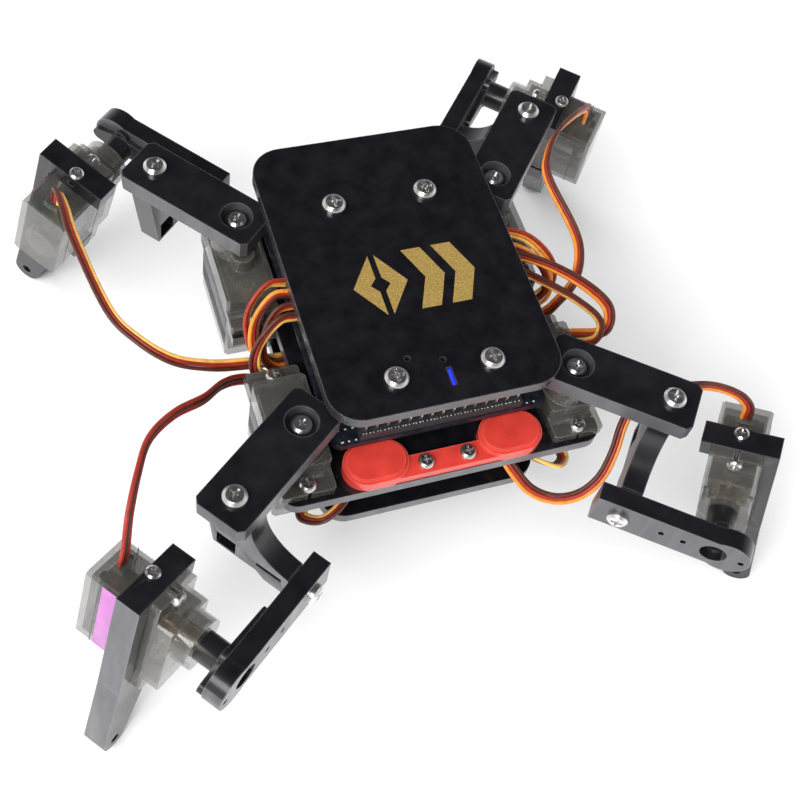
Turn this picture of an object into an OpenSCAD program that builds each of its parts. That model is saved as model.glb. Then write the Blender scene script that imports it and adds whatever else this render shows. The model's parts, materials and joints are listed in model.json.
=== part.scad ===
// Eight-servo walking quadruped: a two-deck body with a control board under a cover,
// and four legs. Each leg swings about an upright hip shaft and lifts about a level knee shaft.
// Millimetres. The origin is the centre of the lower deck's underside.
// -Y is the robot's front, +X its left side and +Z up. The feet reach below the origin.

/* [Body] */
// Free height between the lower and the upper deck
deck_gap = 13; // [12.5:0.5:16]
// Thickness of both decks and of the cover
plate_t = 3; // [2.5:0.1:3.5]
// Length of the upper deck, front to rear
deck_length = 79; // [79:1:84]
// Width of the upper deck
deck_width = 76; // [75:1:80]
// Width of the top cover
cover_width = 53.4; // [50:0.2:56]
// Front edge of the top cover, ahead of the centre
cover_front = 33; // [31:0.5:35]
// Rear edge of the top cover, behind the centre
cover_rear = 40.7; // [38:0.1:44]
// Height of the posts between the control board and the cover
cover_post = 11; // [10.5:0.5:14]

/* [Legs] */
// Sideways distance of each hip shaft from the centre line
hip_x = 32; // [32:0.5:34]
// Lengthways distance of each hip shaft from the centre
hip_y = 27.5; // [27.5:0.25:28.5]
// Standing yaw of the front legs, forward from straight out
front_yaw = 37.5; // [20:0.5:50]
// Standing yaw of the rear legs, backward from straight out
rear_yaw = 48.5; // [20:0.5:50]
// Distance from the hip shaft to the knee shaft along the leg
knee_u = 44.3; // [43:0.1:50]
// Outward lean of the foot when standing
foot_lean = 14; // [0:1:25]
// Distance from the knee shaft to the centre of the rounded foot tip
tip_drop = 46; // [40:1:55]

/* [Servo] */
// Length of the servo case
servo_length = 22.8; // [22.5:0.1:23]
// Width of the servo case
servo_width = 12.2; // [12:0.1:12.4]
// Distance between the two ear screws
ear_pitch = 28; // [27.5:0.1:28]
// Wall of the translucent case
case_wall = 1; // [0.8:0.1:1.2]
// Radial clearance between the splined shaft and the horn
spline_fit = 0.05; // [0.02:0.01:0.1]

/* [Hidden] */
$fn = 48;
// Levels, upward from the underside of the lower deck
deck_low_top = plate_t;
deck_up = plate_t + deck_gap;
deck_up_top = deck_up + plate_t;
board_low = deck_up_top + 5.4;
board_top = board_low + 1.6;
cover_low = board_top + cover_post;
cover_top = cover_low + plate_t;

// Posts, spacers and connectors
spacer_x = 20.5;
spacer_y = 24;
post_x = 11;
post_front = 25;
post_rear = 22;
header_y_left = 8.2;
header_y_right = 5.4;
plug_pitch = 3.1;

// Servo, measured from the shaft and from the bottom of the case
shaft_end = 6;
far_end = servo_length - shaft_end;
ear_reach = 4.7;
flange_low = 16;
flange_t = 2.5;
case_top = 22.5;
bump_top = 26.5;
spline_top = 29.3;
spline_r = 2.4;
near_ear = (ear_pitch - servo_length) / 2 + shaft_end;
far_ear = ear_pitch - near_ear;
hip_base = deck_up_top - flange_low;
lead_height = 4.3;
boss_reach = 1;

// Leg, in its own frame: u outward, w across it toward the near end of the body, z up
coxa_low = hip_base + bump_top + 1;
coxa_top = coxa_low + 4.5;
coxa_half = 6.3;
coxa_out = 28.3;
arm_in = 19.4;
arm_out = 24.6;
arm_low = coxa_top - 22;
arm_top = coxa_top - 16;
arm_end = 16.3;
coxa_screw_u = 22.6;
bar_screw_u = 21.4;
bar_t = 4.6;
bar_in = 15.4;
knee_z = coxa_top - 21.6;
bar_half = 5;
knee_base = arm_end - 33.3;
horn_plate = 1.5;
foot_w = knee_base + flange_low;
foot_t = 6;

// Leads: ribbon of three wires, drawn as one round tube
lead_r = 1.4;
bundle_r = 2.2;
lead_sides = 8;
// Lead exit of a knee servo, and the point that the lead leaves it toward
exit_uz = [shaft_end + boss_reach, shaft_end + boss_reach + 5];
lead_w = knee_base + lead_height;

// Routes from the second point on, in body millimetres
route_front_left = [[69, -40.5, 28.6], [63.5, -37.3, 29], [57, -35, 27], [50, -33, 23],
    [45.2, -36.3, 18.5], [41.8, -41.4, 13.5], [38.2, -45, 8.8], [33.3, -46.5, 5.4],
    [27.6, -45.6, 4], [22.3, -42.3, 4.8], [18.8, -37.2, 7.6], [17, -32, 9.6]];
route_front_right = [[-70.5, -37.5, 30.5], [-67, -30, 33], [-63, -22.5, 32], [-56.5, -16.5, 29],
    [-49, -12, 24.5], [-43.5, -6.5, 19.5], [-38, -3.2, 14.5], [-31, -3.2, 11.5],
    [-23, -3.4, 10.4]];
route_rear_left = [[65.6, 47, 30], [59.5, 42.5, 33.4], [53.2, 38, 34], [48, 32, 34],
    [45.8, 25.5, 32.5], [48.8, 12.5, 28], [48.4, 6, 26], [45.4, 0.5, 23.5],
    [41.5, -1.6, 19.5], [37.5, -1.8, 14.5], [24, -1.8, 10.6]];
route_rear_right = [[-68.4, 43.5, 27.5], [-67.8, 35, 26.5], [-64, 17, 22.5], [-59, 9, 20.2],
    [-52.5, 3.6, 17.8], [-45, 1.9, 15.2], [-37.5, 1.9, 12.8], [-23, 2, 10.4]];
// Bundles from the plugs, out past the cover and down between the decks
route_bundle_left = [[24.2, 10.8, 30.8], [29.4, 10.8, 30.8], [35.6, 9.2, 28.4],
    [40.6, 5.8, 23.8], [40.6, 2.6, 18.5], [35.5, 2.6, 13.2], [28, 3.2, 9.6]];
route_loop = [[24.2, 5.1, 30], [29.5, 5.1, 30], [37, 1, 28.2], [44.6, -4.6, 26],
    [50, -9.4, 22.6], [48.8, -12.6, 18.6], [43.6, -9.4, 14.2], [36.5, -6.2, 11], [29, -6, 9.4]];
route_bundle_right = [[-24.2, 7, 30.8], [-28.8, 7, 30.8], [-33, 4, 25.6], [-33.4, 0.2, 19.6],
    [-30.2, -0.7, 14.9]];
// Short leads of the hip servos, folded back between the decks; mirrored to all four corners
route_hip = [[32, -37.2, 7.3], [28.4, -39.6, 9.8], [23, -37, 11.6], [19.6, -31.6, 11.8]];

// ---------- placing ----------

// A leg's frame: side is 1 on the left and -1 on the right, end is 1 at the rear and -1 in front
module at_leg(side, end) {
    mirror([side < 0 ? 1 : 0, 0, 0])
        mirror([0, end < 0 ? 1 : 0, 0])
            translate([hip_x, hip_y, 0])
                rotate([0, 0, end < 0 ? front_yaw : rear_yaw])
                    children();
}

// The frame that turns with the foot: x outward, y along the knee shaft, z back up the foot
module at_foot(side, end) {
    at_leg(side, end)
        translate([knee_u, 0, knee_z])
            rotate([0, -foot_lean, 0])
                children();
}

// A knee servo lies with its shaft along y and its lead end up
module at_knee_servo(side, end) {
    at_foot(side, end)
        translate([0, knee_base, 0])
            rotate([-90, 90, 0])
                children();
}

// All four hip servos stand with their shafts up and their lead ends away from the centre
module at_hip_servos() {
    for (side = [-1, 1])
        for (end = [-1, 1])
            translate([side * hip_x, end * hip_y, hip_base])
                rotate([0, 0, -90 * end])
                    children();
}

module four(x, y) {
    for (side = [-1, 1])
        for (end = [-1, 1])
            translate([side * x, end * y, 0])
                children();
}

// ---------- shared shapes ----------

module rounded_plate(width, y_low, y_high, corner, thick) {
    linear_extrude(thick) {
        translate([-width / 2 + corner, y_low])
            square([width - 2 * corner, y_high - y_low]);
        translate([-width / 2, y_low + corner])
            square([width, y_high - y_low - 2 * corner]);
        for (x = [-1, 1])
            for (y = [y_low + corner, y_high - corner])
                translate([x * (width / 2 - corner), y])
                    circle(r = corner);
    }
}

module chamfered_plate(x_low, x_high, half, cut, thick) {
    linear_extrude(thick)
        polygon([[x_low + cut, -half], [x_high - cut, -half], [x_high, -half + cut],
            [x_high, half - cut], [x_high - cut, half], [x_low + cut, half],
            [x_low, half - cut], [x_low, -half + cut]]);
}

// Pan-head cross screw: the seat is at z = 0, the head is above it and the shank below
module pan_screw(head_r, head_h, shank_r, shank_l) {
    difference() {
        union() {
            cylinder(h = head_h * 0.55, r = head_r);
            translate([0, 0, head_h * 0.55])
                cylinder(h = head_h * 0.45, r1 = head_r, r2 = head_r * 0.72);
            translate([0, 0, -shank_l])
                cylinder(h = shank_l + 0.1, r = shank_r);
        }
        for (turn = [0, 90])
            rotate([0, 0, turn])
                translate([-head_r * 0.55, -head_r * 0.1, head_h * 0.4])
                    cube([head_r * 1.1, head_r * 0.2, head_h]);
    }
}

module tube(outer_r, inner_r, height) {
    difference() {
        cylinder(h = height, r = outer_r);
        translate([0, 0, -1])
            cylinder(h = height + 2, r = inner_r);
    }
}

// ---------- cords ----------

function unit(v) = v / norm(v);
function heading(p, i) =
    i == 0 ? unit(p[1] - p[0])
    : i == len(p) - 1 ? unit(p[i] - p[i - 1])
    : unit(unit(p[i + 1] - p[i]) + unit(p[i] - p[i - 1]));
// Sideways directions along the route, carried from ring to ring so that the cord never twists
function sideways(p, i, before) =
    let (along = heading(p, i), here = unit(before - (before * along) * along))
    i == len(p) - 1 ? [here] : concat([here], sideways(p, i + 1, here));
function ring(centre, along, a, r) =
    let (b = cross(along, a))
    [for (k = [0:lead_sides - 1])
        centre + r * (cos(360 * k / lead_sides) * a + sin(360 * k / lead_sides) * b)];
function wall(i, k, n) = let (j = (k + 1) % n)
    [[i * n + k, (i + 1) * n + k, (i + 1) * n + j], [i * n + k, (i + 1) * n + j, i * n + j]];

// A round cord along the route
module cord(route, r) {
    n = lead_sides;
    last = len(route) - 1;
    a = sideways(route, 0, [0.2, 0.3, unit(route[1] - route[0])[2] > 0.7 ? 0 : 1]);
    polyhedron(
        points = [for (i = [0:last]) each ring(route[i], heading(route, i), a[i], r)],
        faces = concat(
            [[for (k = [0:n - 1]) k]],
            [[for (k = [n - 1:-1:0]) last * n + k]],
            [for (i = [0:last - 1]) for (k = [0:n - 1]) each wall(i, k, n)]),
        convexity = 6);
}

// Leg-frame point in body millimetres
function leg_point(side, end, u, w, z) = let (yaw = end < 0 ? front_yaw : rear_yaw)
    [side * (hip_x + u * cos(yaw) - w * sin(yaw)), end * (hip_y + u * sin(yaw) + w * cos(yaw)), z];
function exit_point(side, end, s) =
    leg_point(side, end, knee_u - s * sin(foot_lean), lead_w, knee_z + s * cos(foot_lean));
function knee_route(side, end, route) =
    concat([for (s = exit_uz) exit_point(side, end, s)], route);

module knee_lead(side, end, route) {
    color("saddlebrown")
        cord(knee_route(side, end, route), lead_r);
}

// The hip leads leave the servo case straight out and fold in toward the middle
function hip_route(side, end) =
    [for (p = concat([[hip_x, -hip_y - shaft_end - boss_reach, hip_base + lead_height]], route_hip))
        [side * p[0], -end * p[1], p[2]]];

module hip_leads(side) {
    color("saddlebrown")
        for (end = [-1, 1])
            cord(hip_route(side, end), lead_r);
}

// ---------- servo ----------

module servo_case() {
    difference() {
        union() {
            chamfered_plate(-shaft_end, far_end, servo_width / 2, 0.7, case_top);
            translate([0, 0, flange_low])
                chamfered_plate(-shaft_end - ear_reach, far_end + ear_reach,
                    servo_width / 2, 0.6, flange_t);
            translate([0, 0, case_top - 0.5])
                cylinder(h = bump_top - case_top + 0.5, r = 5.9);
            translate([6.6, 0, case_top - 0.5])
                cylinder(h = bump_top - case_top + 0.5, r = 2.75);
            translate([-shaft_end - boss_reach, -2, lead_height - 1.6])
                cube([boss_reach + 0.5, 4, 3.2]);
        }
        translate([-shaft_end + case_wall, -servo_width / 2 + case_wall, case_wall])
            cube([servo_length - 2 * case_wall, servo_width - 2 * case_wall,
                case_top - 2 * case_wall]);
        translate([0, 0, case_top - case_wall - 1])
            cylinder(h = bump_top - case_top + 1, r = 4.9);
        translate([0, 0, bump_top - 2])
            cylinder(h = 3, r = spline_r + 0.2);
        for (s = [-near_ear, far_ear])
            translate([s, 0, flange_low - 1]) {
                cylinder(h = flange_t + 2, r = 1.1);
                translate([s < 0 ? -3 : 0, -0.45, 0])
                    cube([3, 0.9, flange_t + 2]);
            }
    }
}

// Motor, position sensor, board and gear train, seen through the case
module servo_works() {
    half = servo_width / 2 - case_wall;
    difference() {
        union() {
            translate([-shaft_end + case_wall, -half, 15.2])
                cube([servo_length - 2 * case_wall, 2 * half, 1.6]);
            translate([10.6, 0, 1.6])
                cylinder(h = 14, r = 4.6);
            translate([0, 0, 4])
                cylinder(h = 11.5, r = 3.6);
            translate([-4.4, -4.6, 2.6])
                cube([9, 9.2, 1.6]);
            translate([11.2, 0, 16.5])
                cylinder(h = 2, r = 3);
            translate([6.4, 0, 16.5])
                cylinder(h = 3.4, r = 1.5);
            translate([6.4, 0, 18.7])
                cylinder(h = 1.2, r = 3.9);
            translate([0, 0, 16.5])
                cylinder(h = 3.6, r = 2);
            translate([0, 0, 20.1])
                cylinder(h = 1.2, r = 4.3);
            translate([0, 0, 20])
                cylinder(h = spline_top - 20, r = spline_r);
        }
        translate([0, 0, spline_top - 3.5])
            cylinder(h = 4, r = 1.2);
    }
}

// Splined hub of a horn, up to its cap
module horn_hub(cap) {
    difference() {
        translate([0, 0, bump_top + 0.1])
            cylinder(h = cap - bump_top - 0.1, r = 3.5);
        translate([0, 0, bump_top])
            cylinder(h = spline_top + 0.1 - bump_top, r = spline_r + spline_fit);
        translate([0, 0, bump_top])
            cylinder(h = cap - bump_top + 1, r = 1.1);
    }
}

// One tapering arm of a horn, along x
module horn_arm(reach, wide, narrow, thick) {
    linear_extrude(thick) {
        polygon([[0, -wide], [reach, -narrow], [reach, narrow], [0, wide]]);
        translate([reach, 0])
            circle(r = narrow);
    }
}

module hip_horn() {
    plate_low = coxa_low - hip_base;
    horn_hub(bump_top + 3.4);
    difference() {
        translate([0, 0, plate_low])
            horn_arm(12, 3, 1.9, horn_plate);
        translate([0, 0, plate_low - 1])
            cylinder(h = 4, r = 3.4);
        translate([11, 0, plate_low - 1])
            cylinder(h = 4, r = 0.6);
    }
}

module knee_horn() {
    plate_low = arm_end - knee_base - horn_plate;
    horn_hub(plate_low + horn_plate);
    difference() {
        translate([0, 0, plate_low]) {
            horn_arm(6.7, 3, 1.8, horn_plate);
            rotate([0, 0, 180])
                horn_arm(12.5, 3, 1.8, horn_plate);
            for (turn = [90, -90])
                rotate([0, 0, turn])
                    horn_arm(2.8, 3, 2, horn_plate);
        }
        translate([0, 0, plate_low - 1])
            cylinder(h = 4, r = 3.4);
    }
}

// ---------- body ----------

module at_posts() {
    for (x = [-post_x, post_x])
        for (y = [-post_front, post_rear])
            translate([x, y, 0])
                children();
}

module lower_deck() {
    color([0.05, 0.05, 0.06])
        difference() {
            rounded_plate(53, -37.5, 37.5, 6, plate_t);
            four(spacer_x, spacer_y)
                translate([0, 0, -1])
                    cylinder(h = plate_t + 2, r = 1.35);
            four(20, 12)
                translate([0, 0, -1])
                    cylinder(h = plate_t + 2, r = 1.6);
        }
}

module upper_deck() {
    half = deck_width / 2;
    slot_x = hip_x - servo_width / 2 - 0.25;
    slot_in = hip_y - far_end - 0.25;
    slot_out = hip_y + shaft_end + 0.25;
    color([0.05, 0.05, 0.06])
        difference() {
            translate([0, 0, deck_up])
                rounded_plate(deck_width, -deck_length / 2, deck_length / 2, 4, plate_t);
            for (side = [-1, 1]) {
                for (end = [-1, 1])
                    translate([side > 0 ? slot_x : -half - 1,
                        end > 0 ? slot_in : -slot_out, deck_up - 1])
                        cube([half + 1 - slot_x, slot_out - slot_in, plate_t + 2]);
                translate([side > 0 ? 27.5 : -half - 1, -5, deck_up - 1])
                    cube([half - 26.5, 10, plate_t + 2]);
            }
            translate([-8, -10, deck_up - 1])
                cube([16, 20, plate_t + 2]);
            four(spacer_x, spacer_y)
                translate([0, 0, deck_up - 1])
                    cylinder(h = plate_t + 2, r = 1.35);
            for (s = [near_ear, -far_ear])
                four(hip_x, hip_y + s)
                    translate([0, 0, deck_up - 1])
                        cylinder(h = plate_t + 2, r = 0.85);
            at_posts()
                translate([0, 0, deck_up - 1])
                    cylinder(h = plate_t + 2, r = 1.35);
            for (x = [-5, 5])
                translate([x, -36.7, deck_up - 1])
                    cylinder(h = plate_t + 2, r = 0.85);
        }
}

module deck_spacers() {
    color("silver")
        four(spacer_x, spacer_y)
            translate([0, 0, deck_low_top])
                tube(2.8, 1.3, deck_gap);
}

module deck_screws() {
    color("silver") {
        four(spacer_x, spacer_y) {
            translate([0, 0, deck_up_top])
                pan_screw(2.6, 1.6, 1.25, plate_t + 5);
            rotate([180, 0, 0])
                pan_screw(2.6, 1.6, 1.25, plate_t + 5);
        }
        at_posts()
            translate([0, 0, deck_up])
                rotate([180, 0, 0])
                    pan_screw(2.5, 1.4, 1.2, 14);
    }
}

module battery() {
    color([0.12, 0.14, 0.2])
        translate([0, 0, deck_low_top])
            difference() {
                rounded_plate(30, -26, 26, 2.5, deck_gap - 2.2);
                for (end = [-1, 1])
                    translate([-20, end * 26 - 1.2, deck_gap - 4.2])
                        cube([40, 2.4, 4]);
            }
}

module control_board() {
    color([0.04, 0.05, 0.06])
        difference() {
            translate([0, 0, board_low])
                rounded_plate(50, -31, 36, 2, board_top - board_low);
            at_posts()
                translate([0, 0, board_low - 1])
                    cylinder(h = 4, r = 1.4);
        }
}

module board_parts() {
    color("silver") {
        // radio module with its metal can
        translate([-7, 16, board_top])
            cube([14, 15, 1]);
        translate([-5.6, 17.5, board_top + 0.9])
            cube([11.2, 10, 2.2]);
    }
    color("silver")
        translate([-4, 31.6, board_top])
            cube([8, 5.4, 2.8]);
    color([0.1, 0.1, 0.1]) {
        // regulator, switch and light
        translate([-22.5, -22, board_top])
            cube([6.5, 7, 2.3]);
        translate([14, 26, board_top])
            cube([8.5, 4.2, 4]);
        translate([-0.8, -27.9, board_top])
            cube([3.6, 2.6, 2.4]);
    }
    color("dimgray")
        translate([17.5, -18, board_top])
            cylinder(h = 7, r = 3.2);
}

module pin_headers() {
    color([0.08, 0.08, 0.08]) {
        translate([-19.05, -30.6, board_top])
            cube([38.1, 2.54, 2.54]);
        for (i = [-7:7])
            translate([i * 2.54 - 0.32, -29.65, board_top + 2])
                cube([0.64, 0.64, 4.6]);
        for (side = [-1, 1])
            translate([side > 0 ? 5.4 : -9.9,
                side > 0 ? header_y_left - 6.4 : header_y_right - 6.4, board_top])
                cube([4.5, 12.8, 8.8]);
    }
}

module lead_plugs() {
    color([0.1, 0.1, 0.1])
        for (side = [-1, 1])
            for (i = [-1.5:1:1.5])
                translate([side > 0 ? 9.9 : -24.2,
                    (side > 0 ? header_y_left : header_y_right) + i * plug_pitch - 1.25,
                    board_top + 0.8])
                    cube([14.3, 2.5, 7.7]);
}

module board_standoffs() {
    color("gainsboro")
        at_posts() {
            translate([0, 0, deck_up_top])
                tube(2.5, 1.3, board_low - deck_up_top);
            translate([0, 0, board_top])
                difference() {
                    cylinder(h = cover_post, r = 3, $fn = 6);
                    translate([0, 0, -1])
                        cylinder(h = cover_post + 2, r = 1.3);
                }
        }
}

module top_cover() {
    color([0.02, 0.02, 0.03])
        difference() {
            translate([0, 0, cover_low])
                rounded_plate(cover_width, -cover_front, cover_rear, 7.5, plate_t);
            at_posts()
                translate([0, 0, cover_low - 1])
                    cylinder(h = plate_t + 2, r = 1.5);
            // light slit and two access holes
            translate([0.5, -29, cover_low - 1])
                cube([1, 4.4, plate_t + 2]);
            for (p = [[-7, -20.5], [0.5, -22.4]])
                translate([p[0], p[1], cover_low - 1])
                    cylinder(h = plate_t + 2, r = 0.6);
        }
}

module cover_screws() {
    color("silver")
        at_posts()
            translate([0, 0, cover_top])
                pan_screw(2.75, 1.9, 1.2, plate_t + 5);
}

// Red two-lobed bracket along the front edge of the upper deck
module eye_bracket() {
    color("red")
        translate([0, 0, deck_up_top])
            difference() {
                union() {
                    translate([-18.2, -39.3, 0])
                        cube([36.4, 5.1, 2.2]);
                    for (x = [-16, 16])
                        translate([x, -34.3, 0])
                            lobe();
                }
                for (x = [-5, 5])
                    translate([x, -36.7, -1])
                        cylinder(h = 5, r = 1.1);
            }
}

module lobe() {
    oval(5.2, 3);
    translate([0, 0, 3])
        oval(4.4, 0.8);
}

module oval(r, height) {
    linear_extrude(height) {
        translate([-2.3, -r])
            square([4.6, 2 * r]);
        for (x = [-2.3, 2.3])
            translate([x, 0])
                circle(r = r);
    }
}

module eye_screws() {
    color("silver")
        for (x = [-5, 5])
            translate([x, -36.7, deck_up_top + 2.2])
                pan_screw(1.9, 1.3, 0.8, 4.6);
}

module hip_servo_cases() {
    color([0.35, 0.36, 0.34, 0.6])
        at_hip_servos()
            servo_case();
}

module hip_servo_works() {
    color([0.6, 0.55, 0.42])
        at_hip_servos()
            servo_works();
}

module hip_servo_screws() {
    color("silver")
        for (s = [near_ear, -far_ear])
            four(hip_x, hip_y + s)
                translate([0, 0, deck_up_top + flange_t])
                    pan_screw(1.9, 1.3, 0.8, flange_t + 2.5);
}

module hip_leads_left() {
    hip_leads(1);
    color("saddlebrown") {
        cord(route_bundle_left, bundle_r);
        cord(route_loop, bundle_r);
    }
}

module hip_leads_right() {
    hip_leads(-1);
    color("saddlebrown")
        cord(route_bundle_right, bundle_r);
}

// ---------- leg ----------

module coxa_plate(side, end) {
    color([0.03, 0.03, 0.04])
        at_leg(side, end)
            translate([0, 0, coxa_low])
                difference() {
                    chamfered_plate(-6.5, coxa_out, coxa_half, 1.2, coxa_top - coxa_low);
                    translate([0, 0, -1])
                        cylinder(h = 8, r = 3.65);
                    translate([0, -3.3, -1])
                        cube([14.3, 6.6, 1 + horn_plate + 0.1]);
                    translate([coxa_screw_u, 0, -1])
                        cylinder(h = 8, r = 1.3);
                }
}

// Post under the coxa's outer end that sweeps down and across to the femur bar
module coxa_arm(side, end) {
    color([0.03, 0.03, 0.04])
        at_leg(side, end)
            difference() {
                translate([arm_out, 0, 0])
                    rotate([90, 0, -90])
                        linear_extrude(arm_out - arm_in)
                            arm_outline();
                translate([coxa_screw_u, 0, arm_low + 5])
                    cylinder(h = coxa_low - arm_low, r = 1.2);
                // nut pocket
                translate([arm_in - 1, -2.5, arm_low + 0.6])
                    cube([arm_out - arm_in + 2, 5, 5]);
                // nut slot beside the bar
                translate([arm_out - 2.6, 8, arm_top - 3.4])
                    cube([4, 6.6, 1.5]);
                translate([bar_screw_u, arm_end + 1, knee_z])
                    rotate([90, 0, 0])
                        cylinder(h = 8, r = 1.15);
            }
}

// Outline across the leg: the drawing's x is -w
module arm_outline() {
    sweep_r = coxa_low - arm_top;
    difference() {
        polygon([[coxa_half, coxa_low], [3.4, arm_low], [-8.2, arm_low], [-10.4, arm_low - 2],
            [-arm_end, arm_low - 2], [-arm_end, coxa_low]]);
        translate([-coxa_half + 0.3 - sweep_r, coxa_low])
            circle(r = sweep_r, $fn = 96);
    }
}

module femur_bar(side, end) {
    color([0.03, 0.03, 0.04])
        at_leg(side, end)
            translate([0, arm_end + bar_t, 0])
                rotate([90, 0, 0])
                    difference() {
                        linear_extrude(bar_t) {
                            translate([bar_in, knee_z - bar_half])
                                square([knee_u + 2.9 - bar_in, 2 * bar_half]);
                            translate([knee_u + 2.9, knee_z])
                                circle(r = 5.8);
                        }
                        translate([knee_u, knee_z, -1])
                            cylinder(h = bar_t + 2, r = 3.15);
                        for (u = [-12.5, -7.2, 6.7])
                            translate([knee_u + u, knee_z, -1])
                                cylinder(h = bar_t + 2, r = 0.75);
                        translate([bar_screw_u, knee_z, -1])
                            cylinder(h = bar_t + 2, r = 1.25);
                    }
}

module horns(side, end) {
    color("white") {
        at_leg(side, end)
            translate([0, 0, hip_base])
                hip_horn();
        at_leg(side, end)
            translate([knee_u, knee_base, knee_z])
                rotate([-90, 0, 0])
                    knee_horn();
    }
}

module leg_screws(side, end) {
    color("silver")
        at_leg(side, end) {
            translate([0, 0, hip_base + bump_top + 3.4])
                pan_screw(2.3, 1.3, 0.9, 3.6);
            translate([coxa_screw_u, 0, coxa_top])
                pan_screw(2.65, 1.7, 1.15, 12);
            translate([bar_screw_u, arm_end + bar_t, knee_z])
                rotate([-90, 0, 0])
                    pan_screw(2.5, 1.6, 1.1, bar_t + 5);
            translate([knee_u, arm_end, knee_z])
                rotate([-90, 0, 0])
                    pan_screw(2.2, 1.3, 0.9, 5.6);
        }
}

module knee_servo_case(side, end) {
    color([0.35, 0.36, 0.34, 0.6])
        at_knee_servo(side, end)
            servo_case();
}

module knee_servo_works(side, end) {
    color([0.6, 0.55, 0.42])
        at_knee_servo(side, end)
            servo_works();
}

// Open frame around the servo that runs down to a rounded tip; x outward, drawing's y up
module foot_outline() {
    ear_out = shaft_end + ear_reach;
    low = far_end + ear_reach + 0.5;
    translate([-8.5, shaft_end + 0.2])
        square([18, ear_reach]);
    translate([6.3, -low])
        square([3.2, low + ear_out]);
    translate([-6, -low])
        square([15.5, ear_reach]);
    polygon([[9.5, -low], [10.2, -tip_drop + 0.6], [3.1, -tip_drop - 0.5], [-2.6, -low]]);
    translate([6.6, -tip_drop])
        circle(r = 3.6);
}

module foot(side, end) {
    color([0.03, 0.03, 0.04])
        at_foot(side, end)
            translate([0, foot_w, 0])
                rotate([90, 0, 0])
                    difference() {
                        linear_extrude(foot_t)
                            foot_outline();
                        translate([6.6, -tip_drop, -1])
                            cylinder(h = foot_t + 2, r = 1.3);
                        for (z = [near_ear, -far_ear])
                            translate([0, z, -1])
                                cylinder(h = foot_t + 2, r = 0.85);
                        translate([0, near_ear + 0.1, foot_t * 0.72])
                            rotate([-90, 0, 0])
                                cylinder(h = 4, r = 0.9);
                    }
}

module foot_screws(side, end) {
    color("silver")
        at_foot(side, end) {
            for (z = [near_ear, -far_ear])
                translate([0, foot_w + flange_t, z])
                    rotate([-90, 0, 0])
                        pan_screw(1.8, 1.2, 0.8, flange_t + 3);
            translate([0, foot_w - foot_t * 0.72, shaft_end + ear_reach + 0.2])
                pan_screw(1.7, 0.9, 0.85, 1.6);
        }
}

lower_deck();
upper_deck();
deck_spacers();
deck_screws();
battery();
control_board();
board_parts();
pin_headers();
lead_plugs();
board_standoffs();
top_cover();
cover_screws();
eye_bracket();
eye_screws();
hip_servo_cases();
hip_servo_works();
hip_servo_screws();
hip_leads_left();
hip_leads_right();
coxa_plate(1, -1);  // coxa_plate_front_left
coxa_arm(1, -1);  // coxa_arm_front_left
femur_bar(1, -1);  // femur_bar_front_left
horns(1, -1);  // horns_front_left
leg_screws(1, -1);  // leg_screws_front_left
coxa_plate(-1, -1);  // coxa_plate_front_right
coxa_arm(-1, -1);  // coxa_arm_front_right
femur_bar(-1, -1);  // femur_bar_front_right
horns(-1, -1);  // horns_front_right
leg_screws(-1, -1);  // leg_screws_front_right
coxa_plate(1, 1);  // coxa_plate_rear_left
coxa_arm(1, 1);  // coxa_arm_rear_left
femur_bar(1, 1);  // femur_bar_rear_left
horns(1, 1);  // horns_rear_left
leg_screws(1, 1);  // leg_screws_rear_left
coxa_plate(-1, 1);  // coxa_plate_rear_right
coxa_arm(-1, 1);  // coxa_arm_rear_right
femur_bar(-1, 1);  // femur_bar_rear_right
horns(-1, 1);  // horns_rear_right
leg_screws(-1, 1);  // leg_screws_rear_right
knee_servo_case(1, -1);  // knee_servo_case_front_left
knee_servo_works(1, -1);  // knee_servo_works_front_left
foot(1, -1);  // foot_front_left
foot_screws(1, -1);  // foot_screws_front_left
knee_servo_case(-1, -1);  // knee_servo_case_front_right
knee_servo_works(-1, -1);  // knee_servo_works_front_right
foot(-1, -1);  // foot_front_right
foot_screws(-1, -1);  // foot_screws_front_right
knee_servo_case(1, 1);  // knee_servo_case_rear_left
knee_servo_works(1, 1);  // knee_servo_works_rear_left
foot(1, 1);  // foot_rear_left
foot_screws(1, 1);  // foot_screws_rear_left
knee_servo_case(-1, 1);  // knee_servo_case_rear_right
knee_servo_works(-1, 1);  // knee_servo_works_rear_right
foot(-1, 1);  // foot_rear_right
foot_screws(-1, 1);  // foot_screws_rear_right
knee_lead(1, -1, route_front_left);  // knee_lead_front_left
knee_lead(-1, -1, route_front_right);  // knee_lead_front_right
knee_lead(1, 1, route_rear_left);  // knee_lead_rear_left
knee_lead(-1, 1, route_rear_right);  // knee_lead_rear_right
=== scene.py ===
import json
import math
import bmesh
import bpy
from mathutils import Matrix, Vector, noise

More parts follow.
